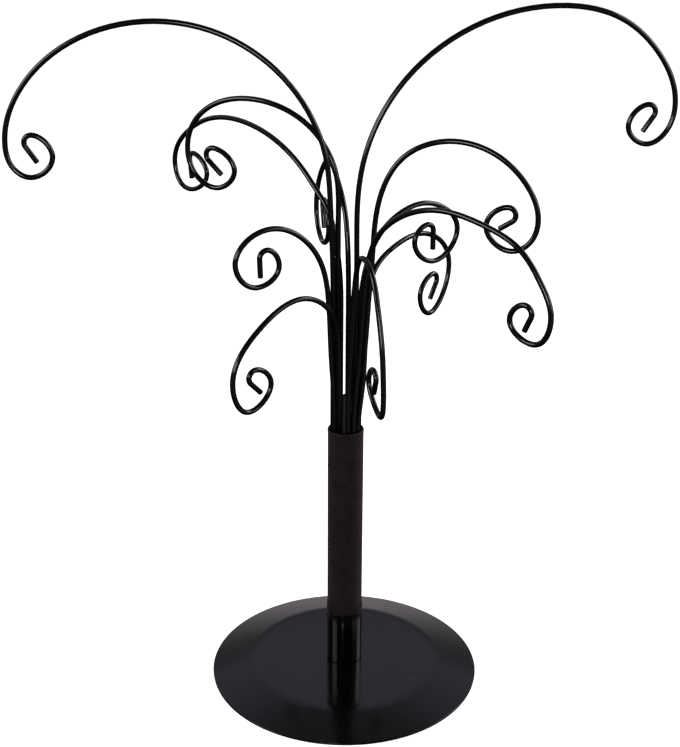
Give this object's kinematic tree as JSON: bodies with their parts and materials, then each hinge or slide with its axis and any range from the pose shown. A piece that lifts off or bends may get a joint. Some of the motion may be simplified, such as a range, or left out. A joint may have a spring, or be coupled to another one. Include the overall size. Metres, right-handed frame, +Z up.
{
  "type": "jewellery tree",
  "caption": "Table-top jewellery tree of bent wire: hooked branches fan out of an upright tube that plugs into a round domed base and turns on it.",
  "frame": {"origin": "centre of the pad's underside, on the table under the trunk's axis", "axes": "+Z up along the trunk, +X to the right seen from the front, -Y towards the front"},
  "size_m": [0.3002, 0.1787, 0.3214],
  "materials": {
    "gloss_enamel": "glossy black enamel on steel",
    "matt_coating": "matt black powder coating on steel",
    "black_nylon": "moulded black nylon",
    "plated_steel": "bright zinc plate",
    "felt": "black felt",
    "stained_wood": "beech dowel stained black"
  },
  "bodies": {
    "base": {"base_pad": "felt", "base_plate": "gloss_enamel", "base_screw": "plated_steel", "base_washer": "plated_steel", "base_socket": "gloss_enamel", "socket_plug": "plated_steel"},
    "bush": {"socket_bush": "black_nylon"},
    "trunk": {"trunk_tube": "matt_coating", "trunk_spigot": "plated_steel", "bundle_core": "stained_wood", "tall_left_branch": "gloss_enamel", "tall_right_branch": "gloss_enamel", "upper_left_branch": "gloss_enamel", "rear_left_branch": "gloss_enamel", "rear_branch": "gloss_enamel", "middle_left_branch": "gloss_enamel", "lower_left_branch": "gloss_enamel", "front_branch": "gloss_enamel", "upper_right_branch": "gloss_enamel", "rear_right_branch": "gloss_enamel", "front_right_branch": "gloss_enamel", "lower_right_branch": "gloss_enamel"}
  },
  "joints": [
    {"name": "swivel", "type": "hinge", "parent": "base", "child": "bush", "pos_m": [0, 0, 0.0342], "axis": [0, 0, 1], "continuous": true},
    {"name": "lift_out", "type": "slide", "parent": "bush", "child": "trunk", "axis": [0, 0, 1], "range_m": [0, 0.03]}
  ]
}
